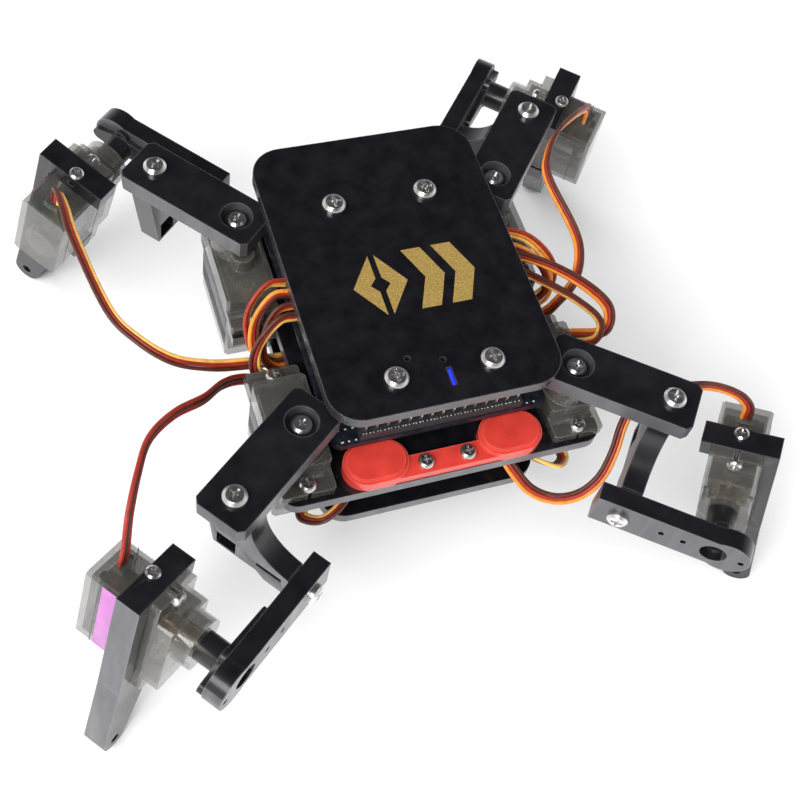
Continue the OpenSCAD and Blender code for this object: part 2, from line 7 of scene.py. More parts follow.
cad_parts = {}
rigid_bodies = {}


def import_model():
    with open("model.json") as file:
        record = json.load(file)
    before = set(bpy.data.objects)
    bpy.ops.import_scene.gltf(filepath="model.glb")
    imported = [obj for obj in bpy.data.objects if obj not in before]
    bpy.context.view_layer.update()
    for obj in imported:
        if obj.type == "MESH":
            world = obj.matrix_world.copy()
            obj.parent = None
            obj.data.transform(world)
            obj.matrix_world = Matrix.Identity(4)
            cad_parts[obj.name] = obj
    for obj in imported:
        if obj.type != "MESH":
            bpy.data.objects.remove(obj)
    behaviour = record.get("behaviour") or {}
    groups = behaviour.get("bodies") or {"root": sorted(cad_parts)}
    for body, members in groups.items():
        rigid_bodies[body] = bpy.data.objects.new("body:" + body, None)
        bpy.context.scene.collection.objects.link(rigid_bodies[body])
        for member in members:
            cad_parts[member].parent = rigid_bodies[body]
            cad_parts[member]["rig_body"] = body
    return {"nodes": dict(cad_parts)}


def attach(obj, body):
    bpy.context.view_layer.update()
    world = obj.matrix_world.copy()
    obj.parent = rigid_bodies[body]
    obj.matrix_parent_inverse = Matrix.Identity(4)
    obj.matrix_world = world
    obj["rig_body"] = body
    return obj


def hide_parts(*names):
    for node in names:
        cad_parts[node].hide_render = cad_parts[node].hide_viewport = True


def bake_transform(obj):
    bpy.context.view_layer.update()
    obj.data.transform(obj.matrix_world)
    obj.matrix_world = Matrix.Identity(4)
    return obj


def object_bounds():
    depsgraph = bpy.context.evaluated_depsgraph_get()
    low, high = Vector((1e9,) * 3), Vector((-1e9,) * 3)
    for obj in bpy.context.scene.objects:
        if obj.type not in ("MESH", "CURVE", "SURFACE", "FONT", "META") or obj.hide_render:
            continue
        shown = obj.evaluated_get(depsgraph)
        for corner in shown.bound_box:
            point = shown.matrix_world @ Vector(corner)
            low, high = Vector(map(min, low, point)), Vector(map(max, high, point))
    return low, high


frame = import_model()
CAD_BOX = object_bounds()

MM = 0.001
# each leg's side, 1 on the robot's left, and its end, 1 at the rear
LEGS = {"front_right": (-1, -1), "front_left": (1, -1), "rear_left": (1, 1), "rear_right": (-1, 1)}
Z = Vector((0, 0, 1))


def mm(p):
    return Vector(p) * MM


def scene_link(ob):
    bpy.context.scene.collection.objects.link(ob)


# ---------------------------------------------------------------- camera
CAMERA_AT = (-85.6, -148.9, 272.5)
CAMERA_LOOK = (0.2722, 0.4386, -0.8569)
CAMERA_ROLL = math.radians(16.13)
CAMERA_LENS = 58.3


def make_camera():
    """The view down onto the robot from beyond its front right corner."""
    look = Vector(CAMERA_LOOK).normalized()
    level = look.cross(Z).normalized()
    lift = level.cross(look)
    right = level * math.cos(CAMERA_ROLL) + lift * math.sin(CAMERA_ROLL)
    up = lift * math.cos(CAMERA_ROLL) - level * math.sin(CAMERA_ROLL)
    camera = bpy.data.objects.new("camera", bpy.data.cameras.new("camera"))
    camera.data.lens = CAMERA_LENS
    camera.data.sensor_width = 36
    camera.data.clip_start = 0.01
    turn = Matrix((right, up, -look)).transposed().to_4x4()
    camera.matrix_world = Matrix.Translation(mm(CAMERA_AT)) @ turn
    scene_link(camera)
    bpy.context.scene.camera = camera


make_camera()


# ---------------------------------------------------------------- materials
# reach and patch size of the lighter edge tint, which is partly wear and partly painted highlight
EDGE_WEAR_AND_HIGHLIGHT_RADIUS = 0.0005
EDGE_WEAR_AND_HIGHLIGHT_GRAIN = 700
BUMP_DEPTH = 0.0002


class Surface:
    """Builds one node material out of noise in the object's own space."""

    def __init__(self, name, stretch):
        self.made = bpy.data.materials.new(name)
        self.made.use_nodes = True
        self.nodes, self.links = self.made.node_tree.nodes, self.made.node_tree.links
        self.shader = self.nodes["Principled BSDF"]
        place = self.nodes.new("ShaderNodeTexCoord")
        spread = self.nodes.new("ShaderNodeMapping")
        spread.inputs["Scale"].default_value = stretch
        self.links.new(place.outputs["Object"], spread.inputs["Vector"])
        self.space = spread.outputs["Vector"]

    def cloud(self, size, detail):
        n = self.nodes.new("ShaderNodeTexNoise")
        n.inputs["Scale"].default_value = size
        n.inputs["Detail"].default_value = detail
        self.links.new(self.space, n.inputs["Vector"])
        return n.outputs["Fac"]

    def ramp(self, source, low, high, a=0.3, b=0.7):
        r = self.nodes.new("ShaderNodeValToRGB")
        first, last = r.color_ramp.elements
        first.position, last.position = a, b
        first.color, last.color = low, high
        self.links.new(source, r.inputs["Fac"])
        return r.outputs["Color"]

    def worn_and_highlit(self, tint, edge_wear_and_highlight):
        """The tint with patches of a lighter colour where the surface turns a corner, partly wear and partly
        a painted highlight on the edges.
        """
        edge = self.nodes.new("ShaderNodeBevel")
        edge.samples = 4
        edge.inputs["Radius"].default_value = EDGE_WEAR_AND_HIGHLIGHT_RADIUS
        flat = self.nodes.new("ShaderNodeNewGeometry")
        dot = self.nodes.new("ShaderNodeVectorMath")
        dot.operation = "DOT_PRODUCT"
        self.links.new(edge.outputs["Normal"], dot.inputs[0])
        self.links.new(flat.outputs["Normal"], dot.inputs[1])
        mask = self.ramp(dot.outputs["Value"], (1, 1, 1, 1), (0, 0, 0, 1), 0.86, 0.985)
        patchy = self.nodes.new("ShaderNodeMath")
        patchy.operation = "MULTIPLY"
        self.links.new(mask, patchy.inputs[0])
        self.links.new(self.cloud(EDGE_WEAR_AND_HIGHLIGHT_GRAIN, 3), patchy.inputs[1])
        mix = self.nodes.new("ShaderNodeMix")
        mix.data_type = "RGBA"
        self.links.new(patchy.outputs["Value"], mix.inputs["Factor"])
        self.links.new(tint, mix.inputs["A"])
        mix.inputs["B"].default_value = (*edge_wear_and_highlight, 1)
        return mix.outputs["Result"]

    def bumped(self, strength, size):
        b = self.nodes.new("ShaderNodeBump")
        b.inputs["Strength"].default_value = strength
        b.inputs["Distance"].default_value = BUMP_DEPTH
        self.links.new(self.cloud(size, 5), b.inputs["Height"])
        self.links.new(b.outputs["Normal"], self.shader.inputs["Normal"])


def material(name, colour, rough, metal=0.0, mottle=0.12, scale=400, rough_swing=0.08, bump=0.0,
             bump_scale=900, edge_wear_and_highlight=None, stretch=(1, 1, 1), **fixed):
    """A finish with mottled colour and roughness, a fine bump, and, if the edge colour is given, lighter
    patches on the edges that are partly wear and partly painted highlight.
    """
    s = Surface(name, stretch)
    s.shader.inputs["Metallic"].default_value = metal
    for key, value in fixed.items():
        s.shader.inputs[key.replace("_", " ")].default_value = value
    dark = [c * (1 - mottle) for c in colour] + [1]
    light = [min(1, c * (1 + mottle) + 0.002) for c in colour] + [1]
    tint = s.ramp(s.cloud(scale, 4), dark, light)
    if edge_wear_and_highlight:
        tint = s.worn_and_highlit(tint, edge_wear_and_highlight)
    s.links.new(tint, s.shader.inputs["Base Color"])
    smooth, dull = max(0.02, rough - rough_swing), min(1, rough + rough_swing)
    gloss = s.ramp(s.cloud(scale * 0.35, 6), (smooth, smooth, smooth, 1), (dull, dull, dull, 1))
    s.links.new(gloss, s.shader.inputs["Roughness"])
    if bump:
        s.bumped(bump, bump_scale)
    return s.made


# plates, horns and cases
BLACK = material("black_sheet", (0.005, 0.005, 0.007), 0.17, mottle=0.3, scale=260, rough_swing=0.04,
                 bump=0.03, bump_scale=2500, edge_wear_and_highlight=(0.10, 0.10, 0.11), Coat_Weight=0.12, Coat_Roughness=0.10)
BLACK_LEG = material("black_leg", (0.007, 0.007, 0.009), 0.24, mottle=0.3, scale=160, rough_swing=0.09,
                     bump=0.08, bump_scale=3000, edge_wear_and_highlight=(0.14, 0.14, 0.15), Coat_Weight=0.12,
                     Coat_Roughness=0.12)
# lighter finishes for the upright faces of the cover and of the other sheets: painted sheen where the sides
# catch light
COVER_SIDE_SHEEN = material("painted_cover_side_sheen", (0.022, 0.022, 0.026), 0.26, mottle=0.2, scale=500, bump=0.06,
                    bump_scale=1800, edge_wear_and_highlight=(0.20, 0.20, 0.21), Coat_Weight=0.5, Coat_Roughness=0.15)
PLATE_SIDE_SHEEN = material("painted_plate_side_sheen", (0.066, 0.065, 0.074), 0.38, mottle=0.2, scale=500,
                    rough_swing=0.1, bump=0.18, bump_scale=1800, edge_wear_and_highlight=(0.24, 0.24, 0.25),
                    stretch=(1, 1, 0.15), Coat_Weight=0.4, Coat_Roughness=0.25)
HORN = material("horn_nylon", (0.010, 0.010, 0.011), 0.30, mottle=0.25, scale=300, bump=0.10,
                bump_scale=2200, edge_wear_and_highlight=(0.16, 0.16, 0.16))
# the pale grey on the smoky case's edges is mostly painted highlight, with some wear
SMOKE = material("smoky_case", (0.105, 0.100, 0.088), 0.14, mottle=0.3, scale=110, rough_swing=0.06,
                 bump=0.08, bump_scale=600, edge_wear_and_highlight=(0.42, 0.42, 0.42), Alpha=0.50, IOR=1.6,
                 Coat_Weight=1.0, Coat_Roughness=0.06)
RED = material("red_print", (0.62, 0.045, 0.032), 0.34, mottle=0.10, scale=250, rough_swing=0.08,
               bump=0.10, bump_scale=1400, edge_wear_and_highlight=(0.9, 0.22, 0.16), Coat_Weight=0.3, Coat_Roughness=0.2)

# metals
STEEL = material("screw_steel", (0.80, 0.79, 0.77), 0.30, 1.0, mottle=0.12, scale=900, bump=0.015,
                 bump_scale=5000)
BRASS = material("brass", (0.72, 0.52, 0.22), 0.28, 1.0, mottle=0.12, scale=800, bump=0.08,
                 bump_scale=3000)
GEAR = material("gear_bronze", (0.66, 0.55, 0.36), 0.30, 1.0, mottle=0.12, scale=900, bump=0.08,
                bump_scale=3000)
CAN = material("motor_can", (0.66, 0.66, 0.68), 0.30, 1.0, mottle=0.08, scale=500, stretch=(1, 1, 12))
TIN = material("tin_can", (0.60, 0.61, 0.62), 0.30, 1.0, mottle=0.1, scale=400, bump=0.1,
               bump_scale=1200)
GOLD = material("gold_leaf", (0.50, 0.335, 0.095), 0.46, 0.45, mottle=0.35, scale=2600,
                rough_swing=0.15, bump=0.4, bump_scale=5200)

# boards, battery, labels and lamp
CARD = material("servo_card", (0.02, 0.10, 0.05), 0.45, mottle=0.3, scale=900, bump=0.2, bump_scale=1800)
BOARD = material("board_mask", (0.012, 0.014, 0.020), 0.30, mottle=0.5, scale=700, bump=0.15,
                 bump_scale=1500)
CHIP = material("chip_resin", (0.022, 0.022, 0.024), 0.55, mottle=0.25, scale=1200, bump=0.2,
                bump_scale=4000)
INK = material("board_ink", (0.72, 0.72, 0.70), 0.6, mottle=0.2, scale=1500, bump=0.1)
WRAP = material("battery_wrap", (0.08, 0.14, 0.30), 0.36, mottle=0.15, scale=150, bump=0.25,
                bump_scale=260)
LABEL = material("label_violet", (0.16, 0.13, 0.20), 0.34, mottle=0.18, scale=260, bump=0.08,
                 bump_scale=500)
LABEL_PALE = material("label_rose", (0.46, 0.16, 0.44), 0.34, mottle=0.12, scale=260, bump=0.08,
                      bump_scale=500)
SEAM = material("case_seam", (0.10, 0.10, 0.11), 0.5, mottle=0.3, scale=700, bump=0.1)
BLUE = material("blue_lamp", (0.01, 0.02, 0.4), 0.3, mottle=0.2, scale=300,
                Emission_Color=(0.02, 0.035, 0.75, 1), Emission_Strength=1.0)


def wire_material(name, colour, rough, mottle):
    return material(name, colour, rough, mottle=mottle, scale=700, bump=0.12, bump_scale=1500)


BROWN = wire_material("wire_brown", (0.085, 0.022, 0.012), 0.42, 0.25)
CRIMSON = wire_material("wire_red", (0.33, 0.028, 0.016), 0.40, 0.2)
ORANGE = wire_material("wire_orange", (0.80, 0.27, 0.035), 0.40, 0.18)
AMBER = wire_material("wire_amber", (0.88, 0.50, 0.12), 0.40, 0.18)


# ---------------------------------------------------------------- mesh helpers
WELD = 2e-6
FLAT_ANGLE = math.radians(0.6)
ROUNDED_ANGLE = math.radians(32)


def add(name, bm, materials, smooth=40):
    """An object made of bm, smooth up to edges of that many degrees."""
    mesh = bpy.data.meshes.new(name)
    bm.to_mesh(mesh)
    bm.free()
    for m in materials:
        mesh.materials.append(m)
    mesh.shade_smooth()
    mesh.set_sharp_from_angle(angle=math.radians(smooth))
    ob = bpy.data.objects.new(name, mesh)
    scene_link(ob)
    return ob


def apply_modifiers(ob):
    graph = bpy.context.evaluated_depsgraph_get()
    done = bpy.data.meshes.new_from_object(ob.evaluated_get(graph))
    ob.modifiers.clear()
    ob.data = done


def softened(node, width, finish, segments=2, cut=None, skip=None, only=None):
    """A copy of a CAD node with its hard edges rounded, standing in for the node. Upright faces may take
    a second finish, given as cut, that is a painted sheen for the light the sides catch: with skip, only
    those at least 45 degrees from that direction do, and with only, only those that look along it."""
    source = frame["nodes"][node]
    bm = bmesh.new()
    bm.from_mesh(source.data)
    bmesh.ops.remove_doubles(bm, verts=bm.verts, dist=WELD)
    bmesh.ops.dissolve_limit(bm, angle_limit=FLAT_ANGLE, verts=bm.verts, edges=bm.edges)
    # upright faces take the second finish, a painted side sheen, where one is given
    for f in bm.faces:
        upright = abs(f.normal.z) < 0.6
        if skip:
            upright = upright and abs(f.normal.dot(skip)) < 0.7
        if only:
            upright = upright and abs(f.normal.dot(only)) > 0.7
        f.material_index = 1 if cut and upright else 0
    ob = add(node + "_finished", bm, [finish, cut] if cut else [finish])
    bevel = ob.modifiers.new("round", "BEVEL")
    bevel.width = width * MM
    bevel.segments = segments
    bevel.limit_method = "ANGLE"
    bevel.angle_limit = ROUNDED_ANGLE
    bevel.use_clamp_overlap = True
    bevel.harden_normals = True
    bevel.miter_outer = "MITER_ARC"
    apply_modifiers(ob)
    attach(ob, source["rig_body"])
    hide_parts(node)
    return ob


def curve_points(route, steps=7):
    """A Catmull-Rom line through the route's points."""
    p = [Vector(q) for q in route]
    p = [p[0] * 2 - p[1]] + p + [p[-1] * 2 - p[-2]]
    line = []
    for i in range(1, len(p) - 2):
        for k in range(steps):
            t = k / steps
            a, b, c, d = p[i - 1:i + 3]
            line.append(0.5 * ((2 * b) + (c - a) * t + (2 * a - 5 * b + 4 * c - d) * t * t
                               + (3 * b - a - 3 * c + d) * t ** 3))
    line.append(p[-2])
    return line


def length_of(line):
    return sum((b - a).length for a, b in zip(line, line[1:]))


# ---------------------------------------------------------------- three-wire ribbons
WIRES = 3
WIRE_R = 0.5
PITCH = 0.95
WIRE_SIDES = 10
RING = WIRES * WIRE_SIDES
# how far a wire strays within the ribbon's plane, and how many times further it strays out of it
WANDER = 0.16
RISE = 1.6


def ribbon(name, line, across, finishes, turn, seed):
    """Round wires side by side along a line. across is the ribbon's width direction where it starts, and
    turn is the twist in degrees that it has by its end."""
    bm = bmesh.new()
    side = Vector(across)
    wires = [[] for _ in range(WIRES)]
    angles = [2 * math.pi * s / WIRE_SIDES for s in range(WIRE_SIDES)]
    for i, c in enumerate(line):
        ahead = (line[min(i + 1, len(line) - 1)] - line[max(i - 1, 0)]).normalized()
        side = (side - ahead * side.dot(ahead)).normalized()
        t = i / (len(line) - 1)
        flat = Matrix.Rotation(math.radians(turn) * t, 3, ahead) @ side
        out = ahead.cross(flat)
        for k in range(WIRES):
            ease = WANDER * math.sin(math.pi * t)
            drift = ease * noise.noise(Vector((seed + k * 3.1, t * 5.0, 0.5)))
            rise = ease * RISE * noise.noise(Vector((seed + k * 1.7, 9.0 + t * 6.0, 2.5)))
            centre = c + flat * ((k - 1) * PITCH + drift) + out * rise
            ring = [(centre + (flat * math.cos(a) + out * math.sin(a)) * WIRE_R) * MM for a in angles]
            wires[k].append([bm.verts.new(p) for p in ring])
    for k, loops in enumerate(wires):
        for a, b in zip(loops, loops[1:]):
            for s in range(WIRE_SIDES):
                after = (s + 1) % WIRE_SIDES
                bm.faces.new((a[s], a[after], b[after], b[s])).material_index = k
        bm.faces.new(list(reversed(loops[0]))).material_index = k
        bm.faces.new(loops[-1]).material_index = k
    bmesh.ops.recalc_face_normals(bm, faces=bm.faces)
    ob = add(name, bm, finishes, smooth=60)
    return ob


def stretch_of(whole, name, low, high):
    """The part of a ribbon from its ring low to its ring high, with closed ends."""
    bm = bmesh.new()
    bm.from_mesh(whole.data)
    outside = [v for i, v in enumerate(bm.verts) if not low <= i // RING <= high]
    bmesh.ops.delete(bm, geom=outside, context="VERTS")
    open_edges = [e for e in bm.edges if e.is_boundary]
    bmesh.ops.holes_fill(bm, edges=open_edges, sides=2 * WIRE_SIDES)
    part = add(name, bm, list(whole.data.materials), smooth=60)
    return part


# ---------------------------------------------------------------- frames of the legs and servos
HIP_X, HIP_Y = 32.0, 27.5
HIP_SERVO_Z = 3
YAW = {-1: 37.5, 1: 48.5}
KNEE_U, KNEE_Z = 44.3, 13.4
KNEE_SERVO_V = -17
LEAN = math.radians(14)


def leg_frame(side, end):
    """The hip's frame: +X out along the leg, +Y across it."""
    flip = Matrix.Diagonal((side, end, 1, 1))
    return flip @ Matrix.Translation((HIP_X, HIP_Y, 0)) @ Matrix.Rotation(math.radians(YAW[end]), 4, "Z")


def foot_frame(side, end):
    return leg_frame(side, end) @ Matrix.Translation((KNEE_U, 0, KNEE_Z)) @ Matrix.Rotation(-LEAN, 4, "Y")


def knee_servo_frame(side, end):
    """A knee servo's own frame, where the output is at the origin and points along +Z."""
    turn = Matrix.Rotation(math.radians(90), 4, "Y") @ Matrix.Rotation(math.radians(-90), 4, "X")
    return foot_frame(side, end) @ Matrix.Translation((0, KNEE_SERVO_V, 0)) @ turn


def hip_servo_frame(side, end):
    turn = Matrix.Rotation(math.radians(-90 * end), 4, "Z")
    return Matrix.Translation((side * HIP_X, end * HIP_Y, HIP_SERVO_Z)) @ turn


# ---------------------------------------------------------------- knee leads
# where a lead leaves its servo, and the end of its first straight stretch, in the servo's frame
LEAD_START = [(-7, 0, 4.3), (-12, 0, 4.3)]
# the rest of each lead's route, in millimetres in the robot's frame
DECK_ROUTES = {
    "front_left": [[69, -40.5, 28.6], [63.5, -37.3, 29], [57, -35, 27], [50, -33, 23], [45.2, -36.3, 18.5],
                   [41.8, -41.4, 13.5], [38.2, -45, 8.8], [33.3, -46.5, 5.4], [27.6, -45.6, 4],
                   [22.3, -42.3, 4.8], [18.8, -37.2, 7.6], [17, -32, 9.6]],
    "front_right": [[-70.5, -37.5, 30.5], [-67, -30, 33], [-63, -22.5, 32], [-56.5, -16.5, 29],
                    [-49, -12, 24.5], [-43.5, -6.5, 19.5], [-38, -3.2, 14.5], [-31, -3.2, 11.5],
                    [-23, -3.4, 10.4]],
    "rear_left": [[65.6, 47, 30], [59.5, 42.5, 33.4], [53.2, 38, 34], [48, 32, 34], [45.8, 25.5, 32.5],
                  [48.8, 12.5, 28], [48.4, 6, 26], [45.4, 0.5, 23.5], [41.5, -1.6, 19.5],
                  [37.5, -1.8, 14.5], [24, -1.8, 10.6]],
    "rear_right": [[-68.4, 43.5, 27.5], [-67.8, 35, 26.5], [-64, 17, 22.5], [-59, 9, 20.2],
                   [-52.5, 3.6, 17.8], [-45, 1.9, 15.2], [-37.5, 1.9, 12.8], [-23, 2, 10.4]],
}
LEAD_COLOURS = {"front_left": (BROWN, CRIMSON, ORANGE), "front_right": (CRIMSON, BROWN, CRIMSON),
                "rear_left": (BROWN, CRIMSON, ORANGE), "rear_right": (BROWN, CRIMSON, AMBER)}
LEAD_TURN = {"front_left": 60, "front_right": 40, "rear_left": -70, "rear_right": 70}
OUTER_SHARE = 0.45


def knee_lead(leg, side, end):
    """The ribbon from a knee servo to the deck. It crosses two joints, so it is swept whole and then parted,
    and its two halves meet exactly."""
    servo = knee_servo_frame(side, end)
    line = curve_points([servo @ Vector(p) for p in LEAD_START] + DECK_ROUTES[leg])
    across = servo.to_3x3() @ Vector((0, 1, 0))
    reach = OUTER_SHARE * length_of(line)
    cut = next(i for i in range(len(line)) if length_of(line[:i + 1]) > reach)
    name = "knee_ribbon_" + leg
    whole = ribbon(name, line, across, list(LEAD_COLOURS[leg]), LEAD_TURN[leg], len(leg))
    outer, outer_line = stretch_of(whole, name + "_outer", 0, cut), line[:cut + 1]
    inner, inner_line = stretch_of(whole, name + "_inner", cut, len(line) - 1), line[cut:]
    bpy.data.objects.remove(whole)
    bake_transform(outer)
    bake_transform(inner)
    for part, part_line in ((outer, outer_line), (inner, inner_line)):
        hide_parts("knee_lead_" + leg)


# ---------------------------------------------------------------- plug and hip leads
# from each plug on the board's side headers to the space between the decks
PLUG_ROUTES = {
    "left_1": [[24.2, 12.85, 30.65], [30, 13, 31], [36.5, 11.2, 28.5], [41.5, 7, 23.5], [41.3, 4, 18],
               [36, 3.6, 13], [28, 4, 9.8]],
    "left_2": [[24.2, 9.75, 30.65], [29.4, 9.6, 30.6], [35, 7.6, 28], [39.4, 4.4, 23.5], [39.4, 1.6, 18.4],
               [34.5, 1.8, 13], [28, 2.2, 9.8]],
    "left_3": [[24.2, 6.65, 30.65], [30, 6.2, 31], [38, 2.4, 29.6], [46, -3.6, 27], [51, -8.6, 23.2],
               [49.6, -12, 18.8], [44, -8.6, 14.4], [37, -5.4, 11.4], [29, -5, 9.6]],
    "left_4": [[24.2, 3.55, 30.65], [29, 3, 30], [36, -0.6, 27.6], [43.4, -6, 25], [48.4, -10.6, 21.6],
               [47, -13.4, 17.8], [42, -10.6, 13.4], [35.6, -7.4, 10.6], [29, -7.2, 9.4]],
    "right_1": [[-24.2, 10.05, 30.65], [-29.5, 9.8, 31.2], [-34.4, 6.6, 26.6], [-35, 2.4, 20],
                [-31.4, 1, 15], [-27.5, 1, 13.8], [-22.5, 1, 13.8]],
    "right_2": [[-24.2, 6.95, 30.65], [-28.8, 6.8, 30.8], [-33.2, 4.2, 26], [-33.8, 0.8, 19.8],
                [-30.6, -0.4, 14.9], [-27, -0.4, 13.6], [-22, -0.4, 13.4]],
    "right_3": [[-24.2, 3.85, 30.65], [-28.6, 3.4, 30], [-32, 0.8, 25.4], [-32.4, -1.8, 19.6],
                [-29.6, -2.2, 14.9], [-26.4, -2, 13.6], [-21.5, -2, 13.4]],
    "right_4": [[-24.2, 0.75, 30.65], [-29.2, 0, 31.4], [-34.4, -2.6, 26.4], [-35.2, -4.6, 20],
                [-31.6, -4.4, 15.2], [-27.6, -4.2, 13.8], [-22.5, -4.2, 13.6]],
}
PLUG_COLOURS = [(AMBER, ORANGE, CRIMSON), (BROWN, CRIMSON, ORANGE), (ORANGE, CRIMSON, BROWN),
                (AMBER, CRIMSON, BROWN)]
PLUG_TURNS = (-55, 40)
# a hip servo's lead, drawn for the left front and mirrored for the others
HIP_ROUTE = [[32, -34.5, 7.3], [32, -37.2, 7.3], [28.4, -39.6, 9.8], [23, -37, 11.6], [19.6, -31.6, 11.8],
             [17.6, -25, 12], [16.6, -19, 12]]
HIP_TURN = 20


def body_lead(name, route, across, finishes, turn, seed, on_left):
    """A ribbon that stays on the body, in the place of one side's CAD bundle."""
    line = curve_points(route)
    ob = ribbon(name, line, across, finishes, turn, seed)
    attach(ob, "body")
    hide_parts("hip_leads_left" if on_left else "hip_leads_right")


def plug_leads():
    for i, (tag, route) in enumerate(PLUG_ROUTES.items()):
        finishes = list(PLUG_COLOURS[i % 4])
        body_lead("plug_ribbon_" + tag, route, Z, finishes, PLUG_TURNS[i % 2], i, tag.startswith("left"))


def hip_leads():
    for side in (-1, 1):
        for end in (-1, 1):
            route = [[side * x, -end * y, z] for x, y, z in HIP_ROUTE]
            tag = ("left" if side > 0 else "right") + ("_rear" if end > 0 else "_front")
            finishes = [BROWN, CRIMSON, AMBER]
            body_lead("hip_ribbon_" + tag, route, (1, 0, 0), finishes, HIP_TURN, 5 + side + end, side > 0)


for leg, (side, end) in LEGS.items():
    knee_lead(leg, side, end)
plug_leads()
hip_leads()


# ---------------------------------------------------------------- CAD shapes with rounded edges
def finish_body():
    # the upright faces of the cover and the decks take a painted side sheen
    softened("top_cover", 0.35, BLACK, 3, cut=COVER_SIDE_SHEEN)
    softened("upper_deck", 0.25, BLACK, cut=PLATE_SIDE_SHEEN)
    softened("lower_deck", 0.25, BLACK, cut=PLATE_SIDE_SHEEN)
    softened("deck_spacers", 0.2, BRASS)
    softened("board_standoffs", 0.2, BRASS)
    for name in ("deck_screws", "cover_screws", "eye_screws", "hip_servo_screws"):
        softened(name, 0.12, STEEL)
    softened("battery", 1.2, WRAP, 3)
    softened("control_board", 0.1, BOARD)
    softened("lead_plugs", 0.3, CHIP)
    softened("eye_bracket", 0.45, RED, 4)
    softened("hip_servo_cases", 0.22, SMOKE)


def finish_leg(leg, side, end):
    turn = leg_frame(side, end).to_3x3()
    along, across = turn @ Vector((1, 0, 0)), turn @ Vector((0, 1, 0))
    # upright faces take a painted side sheen, except the coxa arm's faces that don't look along the leg and
    # the foot's faces that look across it, which stay black
    for kind in ("coxa_plate_", "femur_bar_"):
        softened(kind + leg, 0.3, BLACK_LEG, cut=PLATE_SIDE_SHEEN)
    softened("coxa_arm_" + leg, 0.3, BLACK_LEG, cut=PLATE_SIDE_SHEEN, only=along)
    softened("foot_" + leg, 0.3, BLACK_LEG, cut=PLATE_SIDE_SHEEN, skip=across)
    softened("horns_" + leg, 0.15, HORN)
    softened("knee_servo_case_" + leg, 0.22, SMOKE)
    softened("leg_screws_" + leg, 0.12, STEEL)
    softened("foot_screws_" + leg, 0.12, STEEL)


def tinned(ob, is_metal):
    """Bright metal on the faces whose centre, in millimetres, is_metal accepts."""
    ob.data.materials.append(TIN)
    for f in ob.data.polygons:
        if is_metal(f.center / MM):
            f.material_index = 1


def is_can(c):
    """On the radio module and its can, or on the socket at the board's rear edge."""
    return (abs(c.x) < 7 and c.y > 17) or (abs(c.x) < 4.2 and c.y > 30)


def is_pin(c):
    """On the front strip's pins, above their black base."""
    return c.z > 28.6 and c.y < -28


finish_body()
for leg, (side, end) in LEGS.items():
    finish_leg(leg, side, end)
tinned(softened("board_parts", 0.15, CHIP), is_can)
tinned(softened("pin_headers", 0.08, CHIP), is_pin)


# ---------------------------------------------------------------- inside of the servos
# finishes of a servo's works, by material index
GEAR_I, CAN_I, BRASS_I, CHIP_I, CARD_I = range(5)
MOTOR_X = 10.6
MOTOR_GEAR_X = 11.2
IDLER_X = 6.4
TOOTH = ((-0.36, 0.86), (-0.16, 1.0), (0.16, 1.0), (0.36, 0.86))


def disc(bm, x, r, low, high, index, sides=0, teeth=0):
    """A round part along +Z, of that many sides or with that many gear teeth."""
    if teeth:
        polar = [((i + share) / teeth, r * reach) for i in range(teeth) for share, reach in TOOTH]
    else:
        polar = [(i / sides, r) for i in range(sides)]
    loop = [(x + math.cos(2 * math.pi * a) * s, math.sin(2 * math.pi * a) * s) for a, s in polar]
    bottom, top = [[bm.verts.new((*p, z)) for p in loop] for z in (low, high)]
    faces = [bm.faces.new(list(reversed(bottom))), bm.faces.new(top)]
    for i in range(len(loop)):
        after = (i + 1) % len(loop)
        faces.append(bm.faces.new((bottom[i], bottom[after], top[after], top[i])))
    for f in faces:
        f.material_index = index


def block(bm, low, high, index, cut):
    """A box between two corners with its edges rounded by cut."""
    low, high = Vector(low), Vector(high)
    place = Matrix.Translation((low + high) / 2) @ Matrix.Diagonal((*(high - low), 1))
    made = bmesh.ops.create_cube(bm, size=1, matrix=place)
    faces = {f for v in made["verts"] for f in v.link_faces}
    edges = {e for f in faces for e in f.edges}
    for f in faces:
        f.material_index = index
    out = bmesh.ops.bevel(bm, geom=list(edges), offset=cut, segments=2, affect="EDGES", profile=0.5)
    for f in out["faces"]:
        f.material_index = index


def copies(name, draw, frames, body, finishes):
    """One piece made of what draw puts in each of the frames."""
    bm = bmesh.new()
    for place in frames:
        one = bmesh.new()
        draw(one)
        bmesh.ops.transform(one, matrix=Matrix.Scale(MM, 4) @ place, verts=one.verts)
        temp = bpy.data.meshes.new("temp")
        one.to_mesh(temp)
        one.free()
        bm.from_mesh(temp)
        bpy.data.meshes.remove(temp)
    bmesh.ops.recalc_face_normals(bm, faces=bm.faces)
    ob = add(name, bm, finishes)
    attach(ob, body)
    return ob


